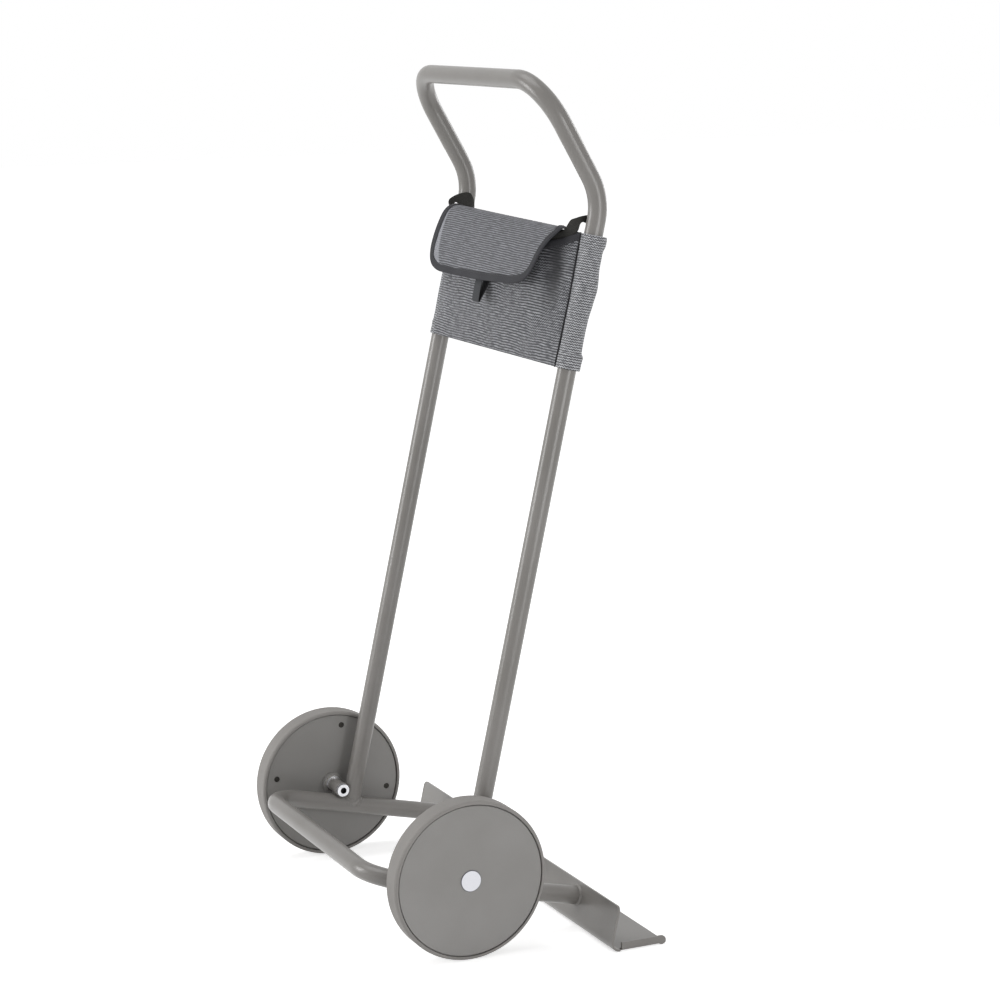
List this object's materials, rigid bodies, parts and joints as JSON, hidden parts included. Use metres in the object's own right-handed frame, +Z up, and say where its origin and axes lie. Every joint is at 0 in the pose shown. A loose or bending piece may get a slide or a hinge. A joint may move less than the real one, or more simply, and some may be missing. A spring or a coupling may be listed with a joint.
{
  "type": "hand truck",
  "caption": "Bent-tube transport trolley with a leaning frame, folded toe plate, two disc wheels on stub axles and a mesh bag with a flap between the uprights.",
  "frame": {"origin": "centre of the bounding box on the floor", "axes": "+X to the right of someone standing behind the trolley and holding its handle, along the wheel axles; +Y forward to the toe plate; +Z up"},
  "size_m": [0.65, 0.38, 1.1459],
  "materials": {
    "frame_paint": "satin",
    "zinc": "satin",
    "tyre": "matt",
    "wheel_core": "matt",
    "wheel_cover": "matt",
    "screws": "satin",
    "cap": "satin",
    "bush": "matt",
    "mesh": "woven",
    "binding": "woven",
    "webbing": "woven"
  },
  "bodies": {
    "frame": {"handle_tube": "frame_paint", "base_tube": "frame_paint", "toe_plate": "frame_paint", "upright_welds": "frame_paint", "toe_welds": "frame_paint", "axle_welds": "frame_paint", "left_axle_sleeve": "frame_paint", "right_axle_sleeve": "frame_paint", "left_axle_bolt": "zinc", "right_axle_bolt": "zinc", "left_thrust_washer": "zinc", "right_thrust_washer": "zinc", "left_nut_washer": "zinc", "right_nut_washer": "zinc", "left_lock_nut": "zinc", "right_lock_nut": "zinc", "bag_back_panel": "mesh", "bag_front_panel": "mesh", "left_bag_sleeve": "mesh", "right_bag_sleeve": "mesh", "back_binding": "binding", "mouth_binding": "binding", "seam_piping": "binding", "left_hanger_strap": "webbing", "right_hanger_strap": "webbing", "pocket_fastener": "webbing"},
    "left_wheel": {"left_tyre": "tyre", "left_wheel_core": "wheel_core", "left_bush": "bush", "left_outer_cover": "wheel_cover", "left_inner_cover": "wheel_cover", "left_cover_screws": "screws", "left_hub_cap": "cap"},
    "right_wheel": {"right_tyre": "tyre", "right_wheel_core": "wheel_core", "right_bush": "bush", "right_outer_cover": "wheel_cover", "right_inner_cover": "wheel_cover", "right_cover_screws": "screws", "right_hub_cap": "cap"},
    "flap": {"bag_flap": "mesh", "flap_binding": "binding", "pull_tab": "webbing", "flap_fastener": "webbing"}
  },
  "joints": [
    {"name": "left_wheel_spin", "type": "hinge", "parent": "frame", "child": "left_wheel", "pos_m": [-0.249, -0.06428, 0.1075], "axis": [1, 0, 0], "continuous": true},
    {"name": "right_wheel_spin", "type": "hinge", "parent": "frame", "child": "right_wheel", "pos_m": [0.249, -0.06428, 0.1075], "axis": [1, 0, 0], "continuous": true},
    {"name": "flap_lift", "type": "hinge", "parent": "frame", "child": "flap", "pos_m": [0, 0.13614, 0.93759], "axis": [-1, 0, 0], "range_deg": [0, 150]}
  ]
}
